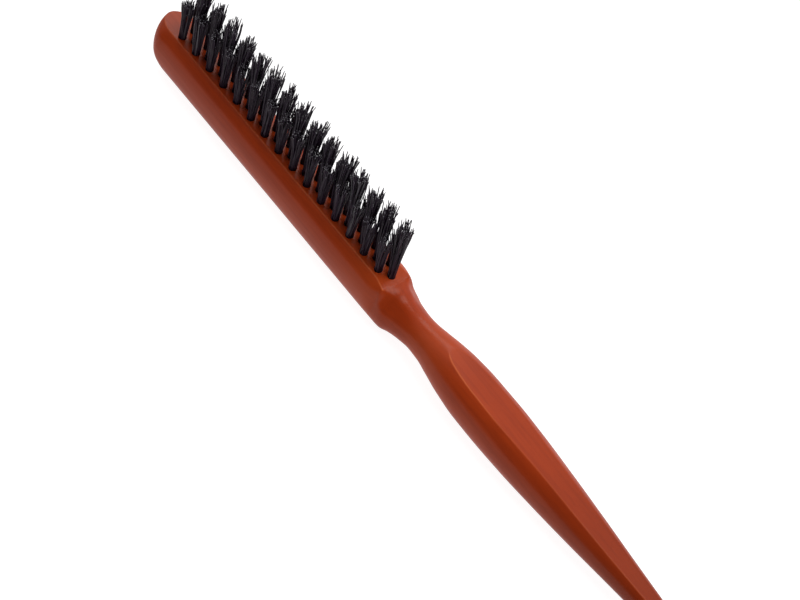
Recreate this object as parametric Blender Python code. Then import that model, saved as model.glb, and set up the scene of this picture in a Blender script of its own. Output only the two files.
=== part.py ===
"""A back-combing brush: one turned wooden body with a rat-tail handle, and three rows of bristle tufts.

Metres, +X from the head's tip to the tail, +Z the way the bristles point, +Y across.
The origin is under the middle of the brush, level with the lowest part of the body.
"""

import math

import bmesh
import bpy
from mathutils import Vector

# Overall sizes of the wooden body.
LENGTH = 0.230
AXIS_HEIGHT = 0.00725  # of the turned axis over the flat strip along the back
BED_OVER_AXIS = 0.0066
HEAD_HALF_WIDTH = 0.0068
HEAD_HALF_DEPTH = 0.0074
HEAD_SQUARENESS = 2.35  # exponent of the head's superellipse, 2 being an ellipse
HEAD_END = 0.0975  # where the bed stops, from the tip
SHOULDER_ROUND = 0.0042  # length over which the head's upper sides draw in before the shoulder
SHOULDER_DRAW_IN = 0.0015
BED_FALL = 0.00066  # how far the bed falls away over its last stretch
BED_FALL_LENGTH = 0.0046
TIP_ROUND_IN_PLAN = 0.0052
TIP_ROUND_UNDERNEATH = 0.0082

# The bristle field.
TUFTS_PER_ROW = 15
TUFT_PITCH = 0.006
FIRST_TUFT = 0.0084  # from the tip, in the two outer rows
ROW_SPACING = 0.00185
HOLE_RADIUS = 0.0011
HOLE_DEPTH = 0.006
TUFT_ROOT_RADIUS = 0.0008  # leaves 0.3 mm to the hole's wall
TUFT_TOP_RADIUS = 0.00145
TUFT_ROOT_CLEARANCE = 0.0004  # under the folded root
OUTER_TUFT_HEIGHT = 0.0132
MIDDLE_TUFT_HEIGHT = 0.0200
TUFT_FLARE = ((0.06, 0.0), (0.45, 0.45), (0.94, 1.0), (1.0, 0.15))  # part of the height, part of the spread

# Turned profile of the shoulder, neck, handle and tail: distance from the tip, then the radius on the
# bristle side, the radius on the back, and how far a ridge stands over the very top of the neck. The cove
# starts sooner on the bristle side.
TURNED = (
    (0.0975, 0.00780, 0.00800, 0.00000),
    (0.0979, 0.00672, 0.00800, 0.00035),
    (0.0988, 0.00530, 0.00796, 0.00120),
    (0.1005, 0.00450, 0.00762, 0.00125),
    (0.1035, 0.00412, 0.00641, 0.00065),
    (0.1070, 0.00408, 0.00552, 0.00010),
    (0.1110, 0.00442, 0.00495, 0.00000),
    (0.1145, 0.00505, 0.00501, 0.00000),
    (0.1190, 0.00588, 0.00568, 0.00000),
    (0.1245, 0.00657, 0.00658, 0.00000),
    (0.1320, 0.00693, 0.00730, 0.00000),
    (0.1400, 0.00694, 0.00742, 0.00000),
    (0.1500, 0.00664, 0.00725, 0.00000),
    (0.1620, 0.00593, 0.00667, 0.00000),
    (0.1750, 0.00502, 0.00578, 0.00000),
    (0.1900, 0.00385, 0.00450, 0.00000),
    (0.2060, 0.00267, 0.00320, 0.00000),
    (0.2200, 0.00171, 0.00202, 0.00000),
    (0.2286, 0.00118, 0.00126, 0.00000),
)
# Height of the thumb flat over the axis, from the neck to the tail.
THUMB_FLAT = (
    (0.1100, 0.00605),
    (0.1190, 0.00602),
    (0.1285, 0.00602),
    (0.1350, 0.00596),
    (0.1430, 0.00583),
    (0.1530, 0.00558),
    (0.1630, 0.00508),
    (0.1755, 0.00425),
    (0.1876, 0.00339),
    (0.2000, 0.00262),
    (0.2120, 0.00193),
    (0.2200, 0.00148),
    (0.2286, 0.00101),
)
TAIL_ROUND = 0.0014  # the last turned radius, rounded off to the end

# Mesh density: faces across each part of a cross-section, and the distances of the cross-sections.
FLAT_STEPS = 4
SIDE_STEPS = 11
LAND_STEPS = 2
HOLE_SIDES = 10
TUFT_SIDES = 8
LEAST_FLAT_DEGREES = 12  # half the angle given to the flat's points where the section is fully round
LEAST_LAND_DEGREES = 6
TIP_DEGREES = (7, 14, 22, 32, 43, 55, 70, 90)
HEAD_STATIONS = (0.030, 0.053, 0.076, 0.0933, 0.0945, 0.0956, 0.0966, HEAD_END)
SHOULDER_STATIONS = (0.0977, 0.0980, 0.0984, 0.0990, 0.0998, 0.1008, 0.1021, 0.1036, 0.1054, 0.1075)
HANDLE_STATIONS = (0.1100, 0.0031, 15)  # first distance, step and count
TAIL_STATIONS = (0.1580, 0.0053, 13)
TAIL_LAST_STATION = 0.2262
TAIL_DEGREES = (0, 25, 50, 70, 82)
EDGE_SEARCH_STEPS = 40
BODY_SHARP_DEGREES = 24
TUFT_SHARP_DEGREES = 50
CUTTER_OVER_BED = 0.001

WOOD = (0.35, 0.075, 0.022)
BRISTLE = (0.012, 0.011, 0.016)


def clear_scene():
    for item in list(bpy.data.objects):
        bpy.data.objects.remove(item, do_unlink=True)


def material(name, colour, roughness):
    made = bpy.data.materials.new(name)
    made.use_nodes = True
    shader = made.node_tree.nodes["Principled BSDF"]
    shader.inputs["Base Color"].default_value = (*colour, 1.0)
    shader.inputs["Roughness"].default_value = roughness
    shader.inputs["Metallic"].default_value = 0.0
    return made


def smooth_value(stations, column, x):
    """A smooth curve through one column of a table of stations, read at x (monotone cubic pieces)."""
    if x <= stations[0][0]:
        return stations[0][column]
    if x >= stations[-1][0]:
        return stations[-1][column]
    right = next(i for i, station in enumerate(stations) if station[0] > x)
    left = right - 1

    def slope(i):
        if i in (0, len(stations) - 1):
            near = 1 if i == 0 else i - 1
            return (stations[near][column] - stations[i][column]) / (stations[near][0] - stations[i][0])
        before = (stations[i][column] - stations[i - 1][column]) / (stations[i][0] - stations[i - 1][0])
        after = (stations[i + 1][column] - stations[i][column]) / (stations[i + 1][0] - stations[i][0])
        if before * after <= 0:
            return 0.0
        return 2 * before * after / (before + after)

    span = stations[right][0] - stations[left][0]
    t = (x - stations[left][0]) / span
    low, high = stations[left][column], stations[right][column]
    return (
        low * (1 + 2 * t) * (1 - t) ** 2
        + slope(left) * span * t * (1 - t) ** 2
        + high * t * t * (3 - 2 * t)
        + slope(right) * span * t * t * (t - 1)
    )


def bristle_share(angle):
    """How far the bristle side's shape counts: 1 straight up, 0 straight down."""
    rise = math.cos(angle)
    return (1 + rise * (1.5 - 0.5 * rise * rise)) / 2


def head_radius(x, angle):
    """Distance from the axis to the head's superellipse, at an angle measured from straight up."""
    last = min(max((x - HEAD_END + SHOULDER_ROUND) / SHOULDER_ROUND, 0.0), 1.0)
    draw_in = SHOULDER_DRAW_IN * last * last * bristle_share(angle) * math.sin(angle) ** 2
    across = abs(math.sin(angle)) / (HEAD_HALF_WIDTH - draw_in)
    along = abs(math.cos(angle)) / HEAD_HALF_DEPTH
    return (across**HEAD_SQUARENESS + along**HEAD_SQUARENESS) ** (-1 / HEAD_SQUARENESS)


def turned_radius(x, angle):
    """Radius left by the shaping of the neck and handle, blended from the bristle side to the back."""
    up = bristle_share(angle)
    ridge = smooth_value(TURNED, 3, x) * max(math.cos(angle), 0.0) ** 4
    return up * smooth_value(TURNED, 1, x) + (1 - up) * smooth_value(TURNED, 2, x) + ridge


def round_radius(x, angle):
    if x < HEAD_END:
        return head_radius(x, angle)
    if x < THUMB_FLAT[0][0]:
        return min(head_radius(x, angle), turned_radius(x, angle))
    return turned_radius(x, angle)


def flat_height(x):
    """Height over the axis of the bed, which falls away at its end, then of the thumb flat."""
    if x >= THUMB_FLAT[0][0]:
        return smooth_value(THUMB_FLAT, 1, x)
    fallen = min(max((x - HEAD_END) / BED_FALL_LENGTH + 1, 0.0), 1.0)
    return BED_OVER_AXIS - BED_FALL * fallen * fallen


def edge_angle(x, height, low, high):
    """Angle at which the round side meets a flat at this height, between two angles."""
    for _ in range(EDGE_SEARCH_STEPS):
        middle = (low + high) / 2
        inside = round_radius(x, middle) * abs(math.cos(middle)) > height
        if inside == (math.cos(middle) > 0):
            low = middle
        else:
            high = middle
    return (low + high) / 2


def section(x):
    """(y, z over the axis) of one cross-section, anticlockwise as seen from the tail."""
    flat = flat_height(x)
    crease = max(edge_angle(x, flat, 0.0, math.pi / 2), math.radians(LEAST_FLAT_DEGREES))
    land = min(edge_angle(x, AXIS_HEIGHT, math.pi / 2, math.pi), math.pi - math.radians(LEAST_LAND_DEGREES))
    angles = [crease * (2 * i / FLAT_STEPS - 1) for i in range(FLAT_STEPS)]
    angles += [crease + (land - crease) * i / SIDE_STEPS for i in range(SIDE_STEPS)]
    angles += [land + 2 * (math.pi - land) * i / LAND_STEPS for i in range(LAND_STEPS)]
    angles += [2 * math.pi - land + (land - crease) * i / SIDE_STEPS for i in range(SIDE_STEPS)]
    points = []
    for angle in angles:
        radius = round_radius(x, angle)
        z = max(min(radius * math.cos(angle), flat), -AXIS_HEIGHT)
        is_cut = abs(z) < abs(radius * math.cos(angle))
        y = z * math.tan(angle) if is_cut else radius * math.sin(angle)
        points.append((y, z))
    return points


def quarter_round(distance, length):
    """0 at the start of a quarter-ellipse and 1 past its length."""
    if distance >= length:
        return 1.0
    return math.sqrt(1 - (1 - distance / length) ** 2)


def ring(x):
    """The body's cross-section in world coordinates, drawn in towards the two rounded ends."""
    width = quarter_round(x, TIP_ROUND_IN_PLAN)
    depth = quarter_round(x, TIP_ROUND_UNDERNEATH)
    tail = quarter_round(LENGTH - x, TAIL_ROUND)
    flat = flat_height(x)
    made = []
    for y, z in section(x):
        z = flat - (flat - z) * depth
        made.append(Vector((x - LENGTH / 2, y * width * tail, AXIS_HEIGHT + z * tail)))
    return made


def ring_stations():
    """Distances from the tip at which the body's cross-sections are made."""
    stations = [TIP_ROUND_UNDERNEATH * (1 - math.cos(math.radians(a))) for a in TIP_DEGREES]
    stations += [*HEAD_STATIONS, *SHOULDER_STATIONS]
    for first, step, count in (HANDLE_STATIONS, TAIL_STATIONS):
        stations += [first + step * i for i in range(count)]
    stations.append(TAIL_LAST_STATION)
    return stations + [LENGTH - TAIL_ROUND * (1 - math.sin(math.radians(a))) for a in TAIL_DEGREES]


def skin(rings):
    """A closed mesh through a row of rings, with a flat face on each end."""
    mesh = bmesh.new()
    rows = [[mesh.verts.new(point) for point in points] for points in rings]
    count = len(rows[0])
    for near, far in zip(rows, rows[1:]):
        for i in range(count):
            j = (i + 1) % count
            mesh.faces.new((near[i], near[j], far[j], far[i]))
    mesh.faces.new(list(reversed(rows[0])))
    mesh.faces.new(rows[-1])
    bmesh.ops.recalc_face_normals(mesh, faces=mesh.faces)
    return mesh


def to_mesh(name, source, sharp_degrees):
    made = bpy.data.meshes.new(name)
    source.to_mesh(made)
    source.free()
    made.shade_smooth()
    made.set_sharp_from_angle(angle=math.radians(sharp_degrees))
    return made


def tuft_places():
    """(name, x from the tip, y, height over the bed) of every tuft. The middle row is half a pitch on."""
    rows = (
        ("tuft_near", 0.0, -ROW_SPACING, OUTER_TUFT_HEIGHT),
        ("tuft_middle", TUFT_PITCH / 2, 0.0, MIDDLE_TUFT_HEIGHT),
        ("tuft_far", 0.0, ROW_SPACING, OUTER_TUFT_HEIGHT),
    )
    for row_name, shift, y, height in rows:
        for i in range(TUFTS_PER_ROW):
            yield f"{row_name}_{i + 1:02d}", FIRST_TUFT + shift + TUFT_PITCH * i, y, height


def circle(x, y, z, radius, sides):
    turns = [2 * math.pi * i / sides for i in range(sides)]
    return [Vector((x + radius * math.cos(a), y + radius * math.sin(a), z)) for a in turns]


def make_hole_cutter():
    """All the blind holes as one guide object, each a plug reaching above the bed."""
    cutter = bmesh.new()
    bed = AXIS_HEIGHT + BED_OVER_AXIS
    for _, x, y, _ in tuft_places():
        mouth = circle(x - LENGTH / 2, y, bed + CUTTER_OVER_BED, HOLE_RADIUS, HOLE_SIDES)
        floor = circle(x - LENGTH / 2, y, bed - HOLE_DEPTH, HOLE_RADIUS, HOLE_SIDES)
        top = [cutter.verts.new(p) for p in mouth]
        foot = [cutter.verts.new(p) for p in floor]
        for i in range(HOLE_SIDES):
            j = (i + 1) % HOLE_SIDES
            cutter.faces.new((top[i], foot[i], foot[j], top[j]))
        cutter.faces.new(top)
        cutter.faces.new(list(reversed(foot)))
    mesh = bpy.data.meshes.new("hole_cutter")
    cutter.to_mesh(mesh)
    cutter.free()
    guide = bpy.data.objects.new("hole_cutter", mesh)
    guide.hide_render = True
    guide.display_type = "WIRE"
    bpy.context.scene.collection.objects.link(guide)
    return guide


def make_body(finish):
    shape = skin([ring(x) for x in ring_stations()])
    body = bpy.data.objects.new("brush_body", to_mesh("brush_body", shape, BODY_SHARP_DEGREES))
    body.data.materials.append(finish)
    bpy.context.scene.collection.objects.link(body)
    holes = body.modifiers.new("tuft holes", "BOOLEAN")
    holes.operation = "DIFFERENCE"
    holes.solver = "EXACT"
    holes.object = make_hole_cutter()


def make_tuft_mesh(name, height):
    """A bundle of bristles from its folded root to its splayed tips, standing on the local origin."""
    spread = TUFT_TOP_RADIUS - TUFT_ROOT_RADIUS
    levels = [(TUFT_ROOT_CLEARANCE - HOLE_DEPTH, TUFT_ROOT_RADIUS)]
    levels += [(height * part, TUFT_ROOT_RADIUS + spread * opened) for part, opened in TUFT_FLARE]
    shape = skin([circle(0, 0, z, radius, TUFT_SIDES) for z, radius in levels])
    return to_mesh(name, shape, TUFT_SHARP_DEGREES)


def make_tufts(finish):
    meshes = {h: make_tuft_mesh("tuft", h) for h in (OUTER_TUFT_HEIGHT, MIDDLE_TUFT_HEIGHT)}
    for mesh in meshes.values():
        mesh.materials.append(finish)
    for name, x, y, height in tuft_places():
        tuft = bpy.data.objects.new(name, meshes[height])
        tuft.location = (x - LENGTH / 2, y, AXIS_HEIGHT + BED_OVER_AXIS)
        bpy.context.scene.collection.objects.link(tuft)


clear_scene()
make_body(material("lacquered wood", WOOD, 0.35))
make_tufts(material("bristle", BRISTLE, 0.5))
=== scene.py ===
"""Looks of a wooden back-combing brush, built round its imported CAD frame.

The body becomes a fine lacquered shape with softened edges and drilled holes. Each tuft becomes a bundle
of separate bristles, folded over a wire anchor at the foot of its hole. Metres, in the frame of the CAD:
+X from the head's tip to the tail, +Z the way the bristles point, +Y across.
"""

import math
import random

import bmesh
import bpy
import numpy as np
from mathutils import Matrix, Vector


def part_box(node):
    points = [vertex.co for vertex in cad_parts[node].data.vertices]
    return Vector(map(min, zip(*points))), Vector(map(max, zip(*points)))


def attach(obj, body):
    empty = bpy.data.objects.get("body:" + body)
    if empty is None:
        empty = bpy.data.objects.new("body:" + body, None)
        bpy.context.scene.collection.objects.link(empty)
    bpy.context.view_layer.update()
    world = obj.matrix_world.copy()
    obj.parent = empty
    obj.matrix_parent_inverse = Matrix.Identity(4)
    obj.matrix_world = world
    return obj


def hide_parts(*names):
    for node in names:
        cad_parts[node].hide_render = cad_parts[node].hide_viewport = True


# The wooden body, with the driving sizes of the CAD model.
LENGTH = 0.230
AXIS_HEIGHT = 0.00725  # of the turned axis over the flat strip along the back
BED_OVER_AXIS = 0.0066
BED_HEIGHT = AXIS_HEIGHT + BED_OVER_AXIS
HEAD_HALF_WIDTH = 0.0068
HEAD_HALF_DEPTH = 0.0074
HEAD_SQUARENESS = 2.35  # exponent of the head's superellipse, 2 being an ellipse
HEAD_END = 0.0975  # where the bed stops, from the tip
SHOULDER_ROUND = 0.0042  # length over which the head's upper sides draw in before the shoulder
SHOULDER_DRAW_IN = 0.00150
BED_FALL = 0.00066  # how far the bed falls away over its last stretch
BED_FALL_LENGTH = 0.0046
TIP_ROUND_IN_PLAN = 0.0052
TIP_ROUND_UNDERNEATH = 0.0082
TAIL_ROUND = 0.0014
# Shoulder, neck, handle and tail: distance from the tip, radius on the bristle side, radius on the back,
# and how far a ridge stands over the very top.
TURNED = (
    (0.0975, 0.00780, 0.00800, 0.00000),
    (0.0979, 0.00672, 0.00800, 0.00035),
    (0.0988, 0.00530, 0.00796, 0.00120),
    (0.1005, 0.00450, 0.00762, 0.00125),
    (0.1035, 0.00412, 0.00641, 0.00065),
    (0.1070, 0.00408, 0.00552, 0.00010),
    (0.1110, 0.00442, 0.00495, 0.00000),
    (0.1145, 0.00505, 0.00501, 0.00000),
    (0.1190, 0.00588, 0.00568, 0.00000),
    (0.1245, 0.00657, 0.00658, 0.00000),
    (0.1320, 0.00693, 0.00730, 0.00000),
    (0.1400, 0.00694, 0.00742, 0.00000),
    (0.1500, 0.00664, 0.00725, 0.00000),
    (0.1620, 0.00593, 0.00667, 0.00000),
    (0.1750, 0.00502, 0.00578, 0.00000),
    (0.1900, 0.00385, 0.00450, 0.00000),
    (0.2060, 0.00267, 0.00320, 0.00000),
    (0.2200, 0.00171, 0.00202, 0.00000),
    (0.2286, 0.00118, 0.00126, 0.00000),
)
# Height of the thumb flat over the axis, from the neck to the tail.
THUMB_FLAT = (
    (0.1100, 0.00605),
    (0.1190, 0.00602),
    (0.1285, 0.00602),
    (0.1350, 0.00596),
    (0.1430, 0.00583),
    (0.1530, 0.00558),
    (0.1630, 0.00508),
    (0.1755, 0.00425),
    (0.1876, 0.00339),
    (0.2000, 0.00262),
    (0.2120, 0.00193),
    (0.2200, 0.00148),
    (0.2286, 0.00101),
)
RUN_ON_BRISTLE_SIDE = 3.0  # slope at which the turned surface opens where it runs on into the head
RUN_ON_BACK = 0.5
RIDGE_POWER = 4  # of the cosine from straight up: how narrow the ridge is

# The edges of the body: how far the two surfaces that meet there are blended into each other.
BED_EDGE_BLEND = 0.00013
BED_END_BLEND = 0.0019  # more where the bed meets the shoulder, most at its middle
SHOULDER_EDGE_BLEND = 0.00035  # more round the back of the shoulder
LAND_EDGE_BLEND = 0.00015  # the land is the flat strip along the back
EDGE_REACH = 0.0006  # a point is near an edge where the two surfaces are closer together than this
CREASE_HIGHLIGHT_HALF_WIDTH = 0.00021  # of the painted highlight along a crease
FAR_CREASE_HIGHLIGHT = 0.3  # how much of the near crease's painted highlight the far one has
CREASE_SHOWS_FROM = 9  # degrees from straight up; from twice that on, the painted highlight has its full strength

# Cross-sections of the body.
EDGE_SEARCH_STEPS = 36
LEAST_CREASE_DEGREES = 12  # from straight up, also where a section is fully round
MOST_LAND_DEGREES = 174  # of the land's edge, from straight up
CREASE_HALF_SPAN_DEGREES = 4.5  # of the stretch of closer points at each crease
BED_POINTS = 10
CREASE_POINTS = 12
SIDE_POINTS = 34
LAND_EDGE_POINTS = 5
LAND_POINTS = 4
LEAST_COSINE = 0.05  # a flat is out of reach at angles whose cosine is smaller
OUT_OF_REACH = 1.0
TIP_DEGREES = np.arange(1.5, 90, 2.5)
TAIL_DEGREES = np.arange(0, 89, 5)
STATION_RUNS = (  # from, to and number of sections
    (TIP_ROUND_UNDERNEATH, 0.0940, 60),
    (0.0940, 0.0970, 20),
    (0.0970, 0.0986, 32),
    (0.0986, 0.1100, 60),
    (0.1100, 0.1300, 70),
    (0.1300, LENGTH - TAIL_ROUND, 130),
)
BODY_SHARP_DEGREES = 38

# Holes, anchors and bristles.
HOLE_RADIUS = 0.0011
HOLE_DEPTH = 0.006
HOLE_SIDES = 28
MOUTH_DEPTH = 0.00008  # under the bed, where the hole starts to flare
DRILL_OVER_BED = 0.0010
DRILL_TOP_RADIUS = 0.0014
DRILL_POINT = 0.0004
DRILL_POINT_RADIUS = HOLE_RADIUS * 0.1
ANCHOR_THICKNESS = 0.0003
ANCHOR_WIDTH = 0.0013
ANCHOR_LIFT = 0.0012  # of the anchor's lower edge over the end of the hole
ANCHOR_CLEARANCE = 0.00004  # between its ends and the hole's wall
ANCHOR_EDGE_ROUND = 0.00009
FOLDED_STRANDS = 28  # each gives two bristles
STRAND_RADIUS = 0.000125
STRAND_SIDES = 6
STRAND_SHARP_DEGREES = 60
SIDE_HINT = (0.3, 1.0, 0.2)  # a direction that no strand starts in
ROOT_SPREAD = 0.00097
LEAST_LEG_OFFSET = 0.00024  # of a leg from the middle of its fold
FOLD_POINTS = 6
FOLD_DEPTH = 0.8  # as a share of the fold's half width
TOP_SPREAD = 0.00186  # in the outer rows; taller tufts flare further
OUTER_HEIGHT = 0.0132
LEG_LEVELS = (0.0, 0.12, 0.26, 0.42, 0.58, 0.72, 0.82, 0.90, 0.96, 1.0)  # parts of a bristle's height
END_TAPER = ((0, 0.7), (1, 0.95), (-1, 0.7), (-2, 0.95))  # point of a strand, share of its radius
FLARE_EASE = 0.6  # how far the flare evens out towards the tip; with 0 it grows to the very end
CURL_START = 0.7  # part of the height where a tip starts to curl
CURL_PART = 0.3  # the rest of the height

# How bristles and tufts differ: a scatter or lean is the standard deviation of a random length or share.
CLUMPS = 9
LEAST_CLUMP_AREA = 0.05  # part of a tuft's top, round its middle, where no clump is
FLARE_RANGE = (0.86, 1.12)  # least and most
STRAY_CHANCE = 0.17
STRAY_FLARE = 1.35
TIP_SCATTER = 0.00028
CLUMP_PULL = (0.25, 0.7)  # least and most
HEIGHT_SCATTER = 0.045
SHORT_CHANCE = 0.16
MOST_SHORT_BY = 0.003
BOW_SCATTER = 0.00013
CURL_SCATTER = 0.00030
LEAN_ALONG = 0.00025
LEAN_ACROSS = 0.0002
OUTER_LEAN = 0.0002  # how far the tips of the outer rows lean outwards on average
MIDDLE_ROW_REACH = 0.0005

rng = random.Random(20)


# ---------------------------------------------------------------- shape of the wooden body


def smooth_value(stations, column, x):
    """A smooth curve through one column of a table of stations, read at x (monotone cubic pieces)."""
    if x <= stations[0][0]:
        return stations[0][column]
    if x >= stations[-1][0]:
        return stations[-1][column]
    right = next(i for i, station in enumerate(stations) if station[0] > x)
    left = right - 1

    def slope(i):
        if i in (0, len(stations) - 1):
            near = 1 if i == 0 else i - 1
            return (stations[near][column] - stations[i][column]) / (stations[near][0] - stations[i][0])
        before = (stations[i][column] - stations[i - 1][column]) / (stations[i][0] - stations[i - 1][0])
        after = (stations[i + 1][column] - stations[i][column]) / (stations[i + 1][0] - stations[i][0])
        return 0.0 if before * after <= 0 else 2 * before * after / (before + after)

    span = stations[right][0] - stations[left][0]
    t = (x - stations[left][0]) / span
    low, high = stations[left][column], stations[right][column]
    return (
        low * (1 + 2 * t) * (1 - t) ** 2
        + slope(left) * span * t * (1 - t) ** 2
        + high * t * t * (3 - 2 * t)
        + slope(right) * span * t * t * (t - 1)
    )


def quarter_round(distance, length):
    """0 at the start of a quarter-ellipse and 1 past its length."""
    return 1.0 if distance >= length else math.sqrt(max(1 - (1 - distance / length) ** 2, 0.0))


def soft_min(a, b, blend):
    """The smaller of two lengths, with the change from one to the other rounded off."""
    overlap = np.maximum(blend - np.abs(a - b), 0.0) / blend
    return np.minimum(a, b) - overlap * overlap * blend / 4


def flat_height(x):
    """Height over the axis of the bed, which falls away at its end, then of the thumb flat."""
    if x >= THUMB_FLAT[0][0]:
        return smooth_value(THUMB_FLAT, 1, x)
    fallen = min(max((x - HEAD_END) / BED_FALL_LENGTH + 1, 0.0), 1.0)
    return BED_OVER_AXIS - BED_FALL * fallen * fallen


def head_radius(x, cosine, sine, up):
    """Distance from the axis to the head's superellipse, whose upper sides draw in before the shoulder."""
    last = min(max((x - HEAD_END + SHOULDER_ROUND) / SHOULDER_ROUND, 0.0), 1.0)
    across = np.abs(sine) / (HEAD_HALF_WIDTH - SHOULDER_DRAW_IN * last * last * up * sine * sine)
    along = np.abs(cosine) / HEAD_HALF_DEPTH
    return (across**HEAD_SQUARENESS + along**HEAD_SQUARENESS) ** (-1 / HEAD_SQUARENESS)


def turned_radius(x, cosine, up):
    """Distance from the axis to the turned neck, handle and tail.

    The surface runs on into the head and opens there, so that the shoulder's edge can be rounded.
    """
    before = max(TURNED[0][0] - x, 0.0)
    bristle_side = smooth_value(TURNED, 1, x) + before * RUN_ON_BRISTLE_SIDE
    back = smooth_value(TURNED, 2, x) + before * RUN_ON_BACK
    ridge = smooth_value(TURNED, 3, x) * np.maximum(cosine, 0.0) ** RIDGE_POWER
    return up * bristle_side + (1 - up) * back + ridge


def surfaces(x, angles):
    """Distances from the axis to the head and to the turned surface, and the share of the bristle side.

    Angles are measured from straight up, where the share is 1. Straight down it is 0.
    """
    cosine, sine = np.cos(angles), np.sin(angles)
    up = (1 + cosine * (1.5 - 0.5 * cosine * cosine)) / 2
    return head_radius(x, cosine, sine, up), turned_radius(x, cosine, up), up


def round_radius(x, angles):
    """Distance from the axis to the rounded surface without its flats."""
    head, turned, _ = surfaces(x, angles)
    return turned if x > THUMB_FLAT[0][0] else np.minimum(head, turned)


def top_radius(x, angles, flat):
    """Distance from the axis to the surface with the bed or thumb flat cut and its edges slightly rounded,
    and which points are near an edge of that flat."""
    head, turned, up = surfaces(x, angles)
    if x > THUMB_FLAT[0][0]:
        return soft_min(turned, flat, BED_EDGE_BLEND), np.abs(turned - flat) < EDGE_REACH
    bed = soft_min(head, flat, BED_EDGE_BLEND)
    upward = np.maximum(np.cos(angles), 0.0)
    blend = BED_EDGE_BLEND + BED_END_BLEND * upward**2 + SHOULDER_EDGE_BLEND * (1 - up)
    return soft_min(bed, turned, blend), (np.abs(head - flat) < EDGE_REACH) & (turned > bed)


def edge_angle(x, height, low, high):
    """Angle at which the rounded surface meets a flat at this height, between two angles."""
    for _ in range(EDGE_SEARCH_STEPS):
        middle = (low + high) / 2
        inside = round_radius(x, middle) * abs(math.cos(middle)) > height
        if inside == (math.cos(middle) > 0):
            low = middle
        else:
            high = middle
    return (low + high) / 2


def section_angles(x):
    """Angles down one half of a section, closer together at the edges of the flats, then the angle of the
    crease and how strongly its painted highlight shows."""
    crease = edge_angle(x, flat_height(x), 0.0, math.pi / 2)
    shown = min(max(math.degrees(crease) / CREASE_SHOWS_FROM - 1, 0.0), 1.0)
    crease = max(crease, math.radians(LEAST_CREASE_DEGREES))
    land = min(edge_angle(x, AXIS_HEIGHT, math.pi / 2, math.pi), math.radians(MOST_LAND_DEGREES))
    reach = math.radians(CREASE_HALF_SPAN_DEGREES)
    parts = (
        np.linspace(0, crease - reach, BED_POINTS, endpoint=False),
        np.linspace(crease - reach, crease + reach, CREASE_POINTS, endpoint=False),
        np.linspace(crease + reach, land - reach / 2, SIDE_POINTS, endpoint=False),
        np.linspace(land - reach / 2, land + reach / 2, LAND_EDGE_POINTS, endpoint=False),
        np.linspace(land + reach / 2, math.pi, LAND_POINTS, endpoint=False),
    )
    return np.concatenate(parts), crease, shown


def section(x):
    """(y, z over the axis) all round one section, and how strongly each point takes the painted highlight
    along a crease, from 0 to 1.
    """
    half, crease, shown = section_angles(x)
    angles = np.concatenate((half, [math.pi], 2 * math.pi - half[:0:-1]))
    cosine = np.cos(angles)
    upward, downward = np.maximum(cosine, LEAST_COSINE), np.maximum(-cosine, LEAST_COSINE)
    flat = np.where(cosine > LEAST_COSINE, flat_height(x) / upward, OUT_OF_REACH)
    land = np.where(cosine < -LEAST_COSINE, AXIS_HEIGHT / downward, OUT_OF_REACH)
    radius, at_edge = top_radius(x, angles, flat)
    radius = soft_min(radius, land, LAND_EDGE_BLEND)
    # Strength of the painted highlight along the crease; the far crease takes less of it.
    off = np.minimum(np.abs(angles - crease), np.abs(2 * math.pi - crease - angles)) * radius
    side_highlight = np.where(angles < math.pi, FAR_CREASE_HIGHLIGHT, 1.0)
    crease_highlight = np.exp(-((off / CREASE_HIGHLIGHT_HALF_WIDTH) ** 2)) * at_edge * shown * side_highlight
    return radius * np.sin(angles), radius * cosine, crease_highlight


def section_stations():
    """Distances from the tip of the body's sections: close together at the ends, shoulder and creases."""
    tip = [TIP_ROUND_UNDERNEATH * (1 - math.cos(math.radians(a))) for a in TIP_DEGREES]
    middle = []
    for first, last, count in STATION_RUNS:
        middle += list(np.linspace(first, last, count, endpoint=False))
    tail = [LENGTH - TAIL_ROUND * (1 - math.sin(math.radians(a))) for a in TAIL_DEGREES]
    return tip + middle + tail


def body_mesh():
    """The whole body without its holes, drawn in towards its two rounded ends."""
    rings, edge = [], []
    for x in section_stations():
        y, z, crease_highlight = section(x)
        width = quarter_round(x, TIP_ROUND_IN_PLAN)
        depth = quarter_round(x, TIP_ROUND_UNDERNEATH)
        tail = quarter_round(LENGTH - x, TAIL_ROUND)
        flat = flat_height(x)
        z = flat - (flat - z) * depth
        along = np.full(len(y), x - LENGTH / 2)
        rings.append(np.column_stack((along, y * width * tail, AXIS_HEIGHT + z * tail)))
        edge.append(crease_highlight)
    return loft("brush_body_surface", rings, edge)


def skin_faces(count, around, base=0):
    """Faces between rings of points and over both ends. base is the number of the first point."""
    grid = base + np.arange(count * around).reshape(count, around)
    near, far = grid[:-1], grid[1:]
    quads = np.stack((near, np.roll(near, -1, 1), np.roll(far, -1, 1), far), -1).reshape(-1, 4)
    return quads.tolist() + [grid[0][::-1].tolist(), grid[-1].tolist()]


def add_values(mesh, name, values):
    """Stores one number for each point of a mesh, for its material to read."""
    layer = mesh.attributes.new(name, "FLOAT", "POINT")
    layer.data.foreach_set("value", np.array(values, np.float32))


def loft(name, rings, edge=None):
    """A closed mesh through rings of points. edge gives each point's share of the painted crease
    highlight.
    """
    mesh = bpy.data.meshes.new(name)
    mesh.from_pydata(np.concatenate(rings).tolist(), [], skin_faces(len(rings), len(rings[0])))
    if edge is not None:
        add_values(mesh, "edge", np.concatenate(edge))
    fixed = bmesh.new()
    fixed.from_mesh(mesh)
    bmesh.ops.recalc_face_normals(fixed, faces=fixed.faces)
    fixed.to_mesh(mesh)
    fixed.free()
    return mesh


def circle(x, y, z, radius, sides):
    turns = np.arange(sides) * 2 * math.pi / sides
    return np.column_stack((x + radius * np.cos(turns), y + radius * np.sin(turns), np.full(sides, z)))


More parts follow.
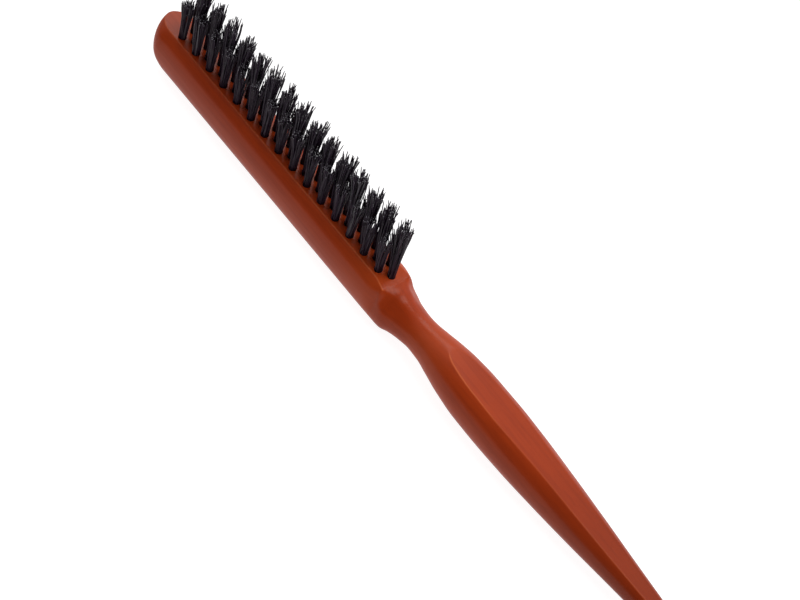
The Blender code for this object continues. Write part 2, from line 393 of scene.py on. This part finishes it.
def drill_mesh(places):
    """One mesh with a drill for each hole: a slightly flared mouth, a straight wall and a drill point."""
    levels = (
        (DRILL_OVER_BED, DRILL_TOP_RADIUS),
        (-MOUTH_DEPTH, HOLE_RADIUS),
        (-HOLE_DEPTH, HOLE_RADIUS),
        (-HOLE_DEPTH - DRILL_POINT, DRILL_POINT_RADIUS),
    )
    drills = bmesh.new()
    for x, y in places:
        drill = loft("drill", [circle(x, y, BED_HEIGHT + z, radius, HOLE_SIDES) for z, radius in levels])
        drills.from_mesh(drill)
        bpy.data.meshes.remove(drill)
    mesh = bpy.data.meshes.new("drills")
    drills.to_mesh(mesh)
    drills.free()
    return mesh


def drilled_body(places, finish):
    """The wooden body as one piece, with its holes cut and the cut applied."""
    rough = bpy.data.objects.new("rough_body", body_mesh())
    drills = bpy.data.objects.new("drills", drill_mesh(places))
    for made in (rough, drills):
        bpy.context.scene.collection.objects.link(made)
    cut = rough.modifiers.new("holes", "BOOLEAN")
    cut.operation = "DIFFERENCE"
    cut.solver = "EXACT"
    cut.object = drills
    bpy.context.view_layer.update()
    graph = bpy.context.evaluated_depsgraph_get()
    mesh = bpy.data.meshes.new_from_object(
        rough.evaluated_get(graph), preserve_all_data_layers=True, depsgraph=graph
    )
    for made in (rough, drills):
        bpy.data.objects.remove(made, do_unlink=True)
    mesh.shade_smooth()
    mesh.set_sharp_from_angle(angle=math.radians(BODY_SHARP_DEGREES))
    return add_piece("wooden_body", mesh, finish)


def add_piece(name, mesh, finish):
    piece = bpy.data.objects.new(name, mesh)
    bpy.context.scene.collection.objects.link(piece)
    mesh.materials.clear()
    mesh.materials.append(finish)
    return piece


# ---------------------------------------------------------------- bristles and anchors


def tube(path, radii, sides):
    """Rings of points round a path, carried along it without twisting."""
    path = np.asarray(path, float)
    along = np.gradient(path, axis=0)
    along /= np.linalg.norm(along, axis=1)[:, None]
    side = np.cross(along[0], SIDE_HINT)
    rings = []
    turns = np.arange(sides) * 2 * math.pi / sides
    for point, direction, radius in zip(path, along, radii):
        side = side - direction * np.dot(side, direction)
        side /= np.linalg.norm(side)
        other = np.cross(direction, side)
        rings.append(point + radius * (np.outer(np.cos(turns), side) + np.outer(np.sin(turns), other)))
    return rings


def strand_bases():
    """Where one leg of each folded strand stands, spread evenly over the half disc with x > 0."""
    golden = math.pi * (3 - math.sqrt(5))
    places = []
    i = 0
    while len(places) < FOLDED_STRANDS:
        r = ROOT_SPREAD * math.sqrt((i + 0.5) / (2 * FOLDED_STRANDS))
        x, y = r * math.cos(golden * i), r * math.sin(golden * i)
        if x > 0:
            places.append((max(x, LEAST_LEG_OFFSET), y))
        i += 1
    return places


def scatter(amount):
    return rng.gauss(0, amount), rng.gauss(0, amount)


def bristle_tip(base, height, flare, clumps, lean):
    """Where one bristle ends: flared out over its base, then drawn towards the nearest clump."""
    spread = flare * rng.uniform(*FLARE_RANGE) * (1 if rng.random() > STRAY_CHANCE else STRAY_FLARE)
    shift_x, shift_y = scatter(TIP_SCATTER)
    x, y = base[0] * spread + shift_x, base[1] * spread + shift_y
    near = min(clumps, key=lambda clump: (clump[0] - x) ** 2 + (clump[1] - y) ** 2)
    pull = rng.uniform(*CLUMP_PULL)
    z = height * (1 - abs(rng.gauss(0, HEIGHT_SCATTER)))
    if rng.random() <= SHORT_CHANCE:
        z -= rng.uniform(0, MOST_SHORT_BY)
    return x + ((near[0] - x) * pull + lean[0]), y + ((near[1] - y) * pull + lean[1]), z


def bristle_leg(base, tip):
    """Points up one bristle, from just over the fold: it flares, bows in between and curls at its tip."""
    bow, curl = scatter(BOW_SCATTER), scatter(CURL_SCATTER)
    points = []
    for part in LEG_LEVELS:
        eased = part * part * (1 + FLARE_EASE - FLARE_EASE * part)
        sway = math.sin(math.pi * part)
        bend = max((part - CURL_START) / CURL_PART, 0.0) ** 2
        x = base[0] + (tip[0] - base[0]) * eased + bow[0] * sway + curl[0] * bend
        y = base[1] + (tip[1] - base[1]) * eased + bow[1] * sway + curl[1] * bend
        points.append((x, y, tip[2] * part))
    return points


def tuft_mesh(name, x, y, height, lean):
    """A bundle of folded bristles, whose tips flare and gather into a few clumps."""
    top_spread = TOP_SPREAD * math.sqrt(height / OUTER_HEIGHT)
    clumps = []
    for _ in range(CLUMPS):
        turn, far = rng.uniform(0, 2 * math.pi), top_spread * math.sqrt(rng.uniform(LEAST_CLUMP_AREA, 1))
        clumps.append((far * math.cos(turn), far * math.sin(turn)))
    foot = -HOLE_DEPTH + ANCHOR_LIFT
    tubes = []
    for base_x, base_y in strand_bases():
        legs = []
        for sign in (-1, 1):
            base = (sign * base_x, base_y)
            tip = bristle_tip(base, height, top_spread / ROOT_SPREAD, clumps, lean)
            legs.append(bristle_leg(base, tip))
        fold = []
        for turn in np.linspace(math.pi, 2 * math.pi, FOLD_POINTS):
            depth = base_x * FOLD_DEPTH * math.sin(turn)
            fold.append((base_x * math.cos(turn), base_y, foot + depth))
        path = legs[0][::-1] + fold + legs[1]
        radii = [STRAND_RADIUS] * len(path)
        for i, share in END_TAPER:
            radii[i] = STRAND_RADIUS * share
        tubes.append(tube(np.array(path) + np.array((x, y, BED_HEIGHT)), radii, STRAND_SIDES))
    return tubes_mesh(name, tubes)


def tubes_mesh(name, tubes):
    """All of a tuft's tubes as one mesh, each closed at both ends.

    The value "cut" is 1 at the ends and 0 between them, and "shade" gives each tube its own tone.
    """
    vertices, faces, shade, cut = [], [], [], []
    base = 0
    for rings in tubes:
        count, around = len(rings), len(rings[0])
        faces += skin_faces(count, around, base)
        vertices.append(np.concatenate(rings))
        shade += [rng.random()] * (count * around)
        cut += [1.0] * around + [0.0] * ((count - 2) * around) + [1.0] * around
        base += count * around
    mesh = bpy.data.meshes.new(name)
    mesh.from_pydata(np.concatenate(vertices).tolist(), [], faces)
    add_values(mesh, "shade", shade)
    add_values(mesh, "cut", cut)
    mesh.shade_smooth()
    mesh.set_sharp_from_angle(angle=math.radians(STRAND_SHARP_DEGREES))
    return mesh


def anchor_mesh(name, x, y):
    """A short length of flat wire across the hole, with rounded edges."""
    low = BED_HEIGHT - HOLE_DEPTH + ANCHOR_LIFT
    half_length = HOLE_RADIUS - ANCHOR_CLEARANCE
    shape = bmesh.new()
    bmesh.ops.create_cube(shape, size=1)
    size = Matrix.Diagonal((ANCHOR_THICKNESS, 2 * half_length, ANCHOR_WIDTH, 1))
    place = Matrix.Translation((x, y, low + ANCHOR_WIDTH / 2))
    bmesh.ops.transform(shape, matrix=place @ size, verts=shape.verts)
    bmesh.ops.bevel(shape, geom=list(shape.edges), offset=ANCHOR_EDGE_ROUND, segments=3, affect="EDGES")
    mesh = bpy.data.meshes.new(name)
    shape.to_mesh(mesh)
    shape.free()
    mesh.shade_smooth()
    return mesh


# ---------------------------------------------------------------- materials

WOOD_DARK = (0.285, 0.0290, 0.0045)
WOOD_LIGHT = (0.340, 0.0380, 0.0060)
WOOD_STREAK = (0.230, 0.0230, 0.0040)
WOOD_PORE = (0.170, 0.0160, 0.0030)
# Painted shade: the lacquer drawn darker towards the tail.
WOOD_TAIL_SHADE = (0.130, 0.0130, 0.0025)
# Painted light: the lacquer drawn lighter on the bed's end and on the neck.
WOOD_PAINTED_LIGHT = (0.420, 0.0560, 0.0090)
# Painted highlight along the creases, stronger on the near one.
WOOD_CREASE_HIGHLIGHT = (0.480, 0.0950, 0.0280)
WOOD_FIGURE = (  # scales along and across the grain, detail, noise from and to, greatest share, colour
    (14, 130, 3, 0.30, 0.70, 1.00, WOOD_LIGHT),
    (55, 1100, 5, 0.42, 0.66, 0.45, WOOD_STREAK),
    (260, 5200, 2, 0.60, 0.72, 0.35, WOOD_PORE),
)
TAIL_SHADE_RANGE = (0.02, 0.10, 0, 0.64)  # painted shade towards the tail: from and to along X, and the shares of the tail's shade colour there
PAINTED_LIGHT_PLACES = (  # where the painted light rises from and to, falls from and to, and its greatest share
    (-0.040, -0.024, -0.021, -0.014, 0.34),
    (-0.010, -0.001, 0.001, 0.014, 0.34),
)
CREASE_HIGHLIGHT_RISES = (-0.085, -0.03, 0.55, 1.0)  # from and to along X, and how much of the painted crease highlight shows there
CREASE_HIGHLIGHT_FALLS = (0.012, 0.035, 1.0, 0.25)
CREASE_HIGHLIGHT_SHARE = 0.75
BRISTLE_DARK = (0.0090, 0.0036, 0.0100)
BRISTLE_LIGHT = (0.0220, 0.0115, 0.0245)
# Painted highlight: the few pale bristles.
BRISTLE_GLINT = (0.085, 0.078, 0.088)
# Cut ends: paler, partly a painted glint.
BRISTLE_CUT_AND_GLINT = (0.19, 0.18, 0.20)
GLINT_FROM = 0.9  # shade over which a bristle is one of the few painted pale as a highlight
CUT_SHOWS = (0.65, 0.95)  # where the paler cut end, partly a painted glint, starts and where it is complete
WIRE_DARK = (0.42, 0.40, 0.36)
WIRE_LIGHT = (0.60, 0.58, 0.54)
FLOOR_LOW = (0.23, 0.23, 0.23)
FLOOR_HIGH = (0.25, 0.25, 0.25)
FLOOR_GLOW = 0.93
NOISE_RANGE = (0.3, 0.7)  # nearly all of a noise lies between these
WOOD_ROUGHNESS = (0.36, 0.46)  # where the noise is low and high, here and below
BRISTLE_ROUGHNESS = (0.34, 0.5)
WIRE_ROUGHNESS = (0.28, 0.42)
BRISTLE_NOISE = (3000, 3000, 500)  # scales along X, Y and Z, here and below
WIRE_NOISE = (4000, 400, 9000)
PAPER_NOISE = (60, 60, 60)


class Nodes:
    """A short way to add shader nodes to a new material and join them."""

    def __init__(self, name):
        self.material = bpy.data.materials.new(name)
        self.material.use_nodes = True
        self.tree = self.material.node_tree
        self.shader = self.tree.nodes["Principled BSDF"]

    def add(self, kind, **values):
        node = self.tree.nodes.new(kind)
        for key, value in values.items():
            if key in node.inputs:
                node.inputs[key].default_value = value
            else:
                setattr(node, key, value)
        return node

    def join(self, source, target):
        self.tree.links.new(source, target)

    def feed(self, **sources):
        """Joins sockets to the shader's inputs, whose names have _ for a space here."""
        for key, source in sources.items():
            self.join(source, self.shader.inputs[key.replace("_", " ")])

    def settle(self, **values):
        """Sets the shader's own sockets, whose names have _ for a space here."""
        for key, value in values.items():
            self.shader.inputs[key.replace("_", " ")].default_value = value

    def place(self):
        return self.add("ShaderNodeTexCoord").outputs["Object"]

    def stored(self, name):
        return self.add("ShaderNodeAttribute", attribute_name=name).outputs["Fac"]

    def noise(self, place, scales, detail):
        """Noise with its own scale along each axis, so that it can be drawn out as wood grain is."""
        mapping = self.add("ShaderNodeMapping", Scale=scales)
        self.join(place, mapping.inputs["Vector"])
        noise = self.add("ShaderNodeTexNoise", Scale=1.0, Detail=detail, Roughness=0.55)
        self.join(mapping.outputs["Vector"], noise.inputs["Vector"])
        return noise.outputs["Fac"]

    def ranged(self, value, low, high, to_low=0, to_high=1):
        """A value between low and high, moved smoothly to between to_low and to_high."""
        node = self.add("ShaderNodeMapRange", interpolation_type="SMOOTHSTEP")
        for key, number in zip(("From Min", "From Max", "To Min", "To Max"), (low, high, to_low, to_high)):
            node.inputs[key].default_value = number
        self.join(value, node.inputs["Value"])
        return node.outputs["Result"]

    def product(self, first, second):
        node = self.add("ShaderNodeMath", operation="MULTIPLY")
        self.join(first, node.inputs[0])
        self.join(second, node.inputs[1])
        return node.outputs[0]

    def mixed(self, share, first, second):
        """A mix of two colours, each a tuple or a socket. A Mix node's colours are its inputs 6 and 7."""
        node = self.add("ShaderNodeMix", data_type="RGBA")
        self.join(share, node.inputs[0])
        for slot, colour in ((6, first), (7, second)):
            if isinstance(colour, tuple):
                node.inputs[slot].default_value = (*colour, 1.0)
            else:
                self.join(colour, node.inputs[slot])
        return node.outputs[2]


def lacquered_wood():
    """Grain under reddish lacquer, with painted shade darker to the tail, painted light on the bed's end
    and the neck, and a painted highlight along the creases.
    """
    made = Nodes("lacquered_wood")
    place = made.place()
    colour = WOOD_DARK
    noises = []
    for along, across, detail, low, high, most, tint in WOOD_FIGURE:
        noises.append(made.noise(place, (along, across, across), detail))
        colour = made.mixed(made.ranged(noises[-1], low, high, 0, most), colour, tint)
    grain = noises[1]
    axes = made.add("ShaderNodeSeparateXYZ")
    made.join(place, axes.inputs[0])
    x = axes.outputs["X"]
    # Painted shade towards the tail.
    colour = made.mixed(made.ranged(x, *TAIL_SHADE_RANGE), colour, WOOD_TAIL_SHADE)
    # Painted light on the bed's end and on the neck.
    for rise_start, rise_end, fall_start, fall_end, most in PAINTED_LIGHT_PLACES:
        rises = made.ranged(x, rise_start, rise_end)
        falls = made.ranged(x, fall_start, fall_end, most, 0)
        colour = made.mixed(made.product(rises, falls), colour, WOOD_PAINTED_LIGHT)
    # Painted highlight along the creases.
    edge = made.ranged(made.stored("edge"), 0.0, 1.0, 0, CREASE_HIGHLIGHT_SHARE)
    crease_highlight_shows = made.product(made.ranged(x, *CREASE_HIGHLIGHT_RISES), made.ranged(x, *CREASE_HIGHLIGHT_FALLS))
    colour = made.mixed(made.product(edge, crease_highlight_shows), colour, WOOD_CREASE_HIGHLIGHT)
    bump = made.add("ShaderNodeBump", Strength=0.25, Distance=0.00004)
    made.join(grain, bump.inputs["Height"])
    roughness = made.ranged(grain, *NOISE_RANGE, *WOOD_ROUGHNESS)
    made.feed(Base_Color=colour, Roughness=roughness, Normal=bump.outputs["Normal"])
    made.settle(Specular_IOR_Level=0.06, Specular_Tint=(1.0, 0.80, 0.50, 1.0))
    made.settle(Coat_Weight=0.095, Coat_Roughness=0.23, Coat_IOR=2.0)
    return made.material


def bristle_plastic():
    """Black bristles, each with its own tone, a few painted pale as highlights, all with paler cut ends
    that are partly a painted glint.
    """
    made = Nodes("bristle_plastic")
    shade = made.stored("shade")
    colour = made.mixed(made.ranged(shade, 0, GLINT_FROM), BRISTLE_DARK, BRISTLE_LIGHT)
    # Painted highlight: a few bristles drawn pale.
    colour = made.mixed(made.ranged(shade, GLINT_FROM, 1.0), colour, BRISTLE_GLINT)
    # Paler cut ends, partly a painted glint.
    colour = made.mixed(made.ranged(made.stored("cut"), *CUT_SHOWS), colour, BRISTLE_CUT_AND_GLINT)
    fine = made.noise(made.place(), BRISTLE_NOISE, 2)
    made.feed(Base_Color=colour, Roughness=made.ranged(fine, *NOISE_RANGE, *BRISTLE_ROUGHNESS))
    made.settle(Specular_IOR_Level=0.17)
    return made.material


def anchor_wire():
    """Bright drawn wire with fine lines along it."""
    made = Nodes("anchor_wire")
    drawn = made.noise(made.place(), WIRE_NOISE, 3)
    colour = made.mixed(made.ranged(drawn, *NOISE_RANGE), WIRE_DARK, WIRE_LIGHT)
    made.feed(Base_Color=colour, Roughness=made.ranged(drawn, *NOISE_RANGE, *WIRE_ROUGHNESS))
    made.settle(Metallic=1.0)
    return made.material


def floor_paper():
    """Plain pale paper with an even glow of its own, so that it is nearly white all over."""
    made = Nodes("floor_paper")
    fibres = made.noise(made.place(), PAPER_NOISE, 4)
    made.feed(Base_Color=made.mixed(made.ranged(fibres, *NOISE_RANGE), FLOOR_LOW, FLOOR_HIGH))
    made.settle(Roughness=0.9, Specular_IOR_Level=0.1)
    made.settle(Emission_Color=(1.0, 1.0, 1.0, 1.0), Emission_Strength=FLOOR_GLOW)
    return made.material


# ---------------------------------------------------------------- floor, light and camera

FLOOR_RADIUS = 6.0
FLOOR_SIDES = 96
BRIGHT_SIDE = (-0.72, 0.69, 0.0)  # direction in which the surround brightens
SURROUND = (-0.25, 0.7, 0.07, 1.2)  # where the change starts and ends along it, and the two strengths
LIGHT_DISTANCE = 0.9
KEY_FROM = Vector((0.40, 0.20, 0.90))
KEY_SIZE = 0.75
KEY_POWER = 7.05
BACK_FROM = Vector((-0.551, 0.436, 0.710))
BACK_SIZE = 0.31
BACK_POWER = 0.95

CAMERA_TARGET = Vector((-0.01574, 0.00142, AXIS_HEIGHT))
CAMERA_AZIMUTH = -52.18  # degrees from +X
CAMERA_ELEVATION = 51.49
CAMERA_ROLL = 18.67
CAMERA_DISTANCE = 0.864
CAMERA_LENS = 157.93


def make_floor():
    shape = bmesh.new()
    bmesh.ops.create_circle(shape, cap_ends=True, segments=FLOOR_SIDES, radius=FLOOR_RADIUS)
    mesh = bpy.data.meshes.new("floor")
    shape.to_mesh(mesh)
    shape.free()
    add_piece("floor", mesh, floor_paper())


def make_surround():
    """A world that lights more from one side, and that is seen directly as plain white.

    The two values that the Mix node chooses from are its inputs 2 and 3.
    """
    world = bpy.data.worlds.new("studio")
    bpy.context.scene.world = world
    world.use_nodes = True
    nodes, links = world.node_tree.nodes, world.node_tree.links
    towards = nodes.new("ShaderNodeVectorMath")
    towards.operation = "DOT_PRODUCT"
    towards.inputs[1].default_value = BRIGHT_SIDE
    links.new(nodes.new("ShaderNodeTexCoord").outputs["Generated"], towards.inputs[0])
    ramp = nodes.new("ShaderNodeMapRange")
    ramp.interpolation_type = "SMOOTHSTEP"
    for key, number in zip(("From Min", "From Max", "To Min", "To Max"), SURROUND):
        ramp.inputs[key].default_value = number
    links.new(towards.outputs["Value"], ramp.inputs["Value"])
    strength = nodes.new("ShaderNodeMix")
    strength.inputs[3].default_value = 1.0
    links.new(nodes.new("ShaderNodeLightPath").outputs["Is Camera Ray"], strength.inputs[0])
    links.new(ramp.outputs["Result"], strength.inputs[2])
    background = nodes["Background"]
    background.inputs["Color"].default_value = (1.0, 1.0, 1.0, 1.0)
    links.new(strength.outputs[0], background.inputs["Strength"])


def facing_back(direction):
    """The turn of a light or camera that stands in this direction and looks back."""
    return direction.to_track_quat("Z", "Y").to_matrix().to_4x4()


def add_softbox(name, direction, size, power):
    """A square area light that faces the middle of the brush."""
    light = bpy.data.lights.new(name, "AREA")
    light.size = size
    light.energy = power
    lamp = bpy.data.objects.new(name, light)
    away = direction.normalized()
    lamp.matrix_world = Matrix.Translation(away * LIGHT_DISTANCE) @ facing_back(away)
    bpy.context.scene.collection.objects.link(lamp)


def make_light():
    make_surround()
    add_softbox("key", KEY_FROM, KEY_SIZE, KEY_POWER)
    add_softbox("back", BACK_FROM, BACK_SIZE, BACK_POWER)
    bpy.context.scene.view_settings.view_transform = "Standard"


def make_camera():
    azimuth, elevation = math.radians(CAMERA_AZIMUTH), math.radians(CAMERA_ELEVATION)
    level = math.cos(elevation)
    back = Vector((level * math.cos(azimuth), level * math.sin(azimuth), math.sin(elevation)))
    data = bpy.data.cameras.new("camera")
    data.lens = CAMERA_LENS
    data.clip_start, data.clip_end = 0.01, 50.0
    camera = bpy.data.objects.new("camera", data)
    turn = facing_back(back) @ Matrix.Rotation(math.radians(CAMERA_ROLL), 4, "Z")
    camera.matrix_world = Matrix.Translation(CAMERA_TARGET + back * CAMERA_DISTANCE) @ turn
    bpy.context.scene.collection.objects.link(camera)
    bpy.context.scene.camera = camera


# ---------------------------------------------------------------- assembly


def tuft_lean(y):
    """How far a tuft's tips lean along X and Y. The outer rows lean outwards."""
    along, across = rng.gauss(0, LEAN_ALONG), rng.gauss(0, LEAN_ACROSS)
    if abs(y) > MIDDLE_ROW_REACH:
        across += math.copysign(OUTER_LEAN, y)
    return along, across


def make_tufts(nodes):
    """The bristles and the anchor of each of the frame's tufts. Returns where the tufts stand."""
    bristle, wire = bristle_plastic(), anchor_wire()
    places = []
    for node in sorted(name for name in nodes if name.startswith("tuft_")):
        low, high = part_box(node)
        x, y = (low.x + high.x) / 2, (low.y + high.y) / 2
        places.append((x, y))
        mesh = tuft_mesh(node + "_strands", x, y, high.z - BED_HEIGHT, tuft_lean(y))
        tuft = add_piece(node.replace("tuft_", "bristles_"), mesh, bristle)
        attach(tuft, "root")
        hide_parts(node)
        anchor = add_piece(node.replace("tuft_", "anchor_"), anchor_mesh(node + "_anchor", x, y), wire)
        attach(anchor, "root")
    return places


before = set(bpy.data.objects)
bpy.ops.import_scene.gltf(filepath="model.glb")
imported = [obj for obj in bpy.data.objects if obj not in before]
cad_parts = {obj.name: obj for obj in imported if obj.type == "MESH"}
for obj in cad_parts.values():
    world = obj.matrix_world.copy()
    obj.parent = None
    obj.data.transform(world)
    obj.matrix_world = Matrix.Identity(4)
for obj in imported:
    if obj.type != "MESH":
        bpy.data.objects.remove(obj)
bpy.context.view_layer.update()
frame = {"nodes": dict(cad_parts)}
hole_places = make_tufts(frame["nodes"])
body = drilled_body(hole_places, lacquered_wood())
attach(body, "root")
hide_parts("brush_body")
make_floor()
make_light()
make_camera()
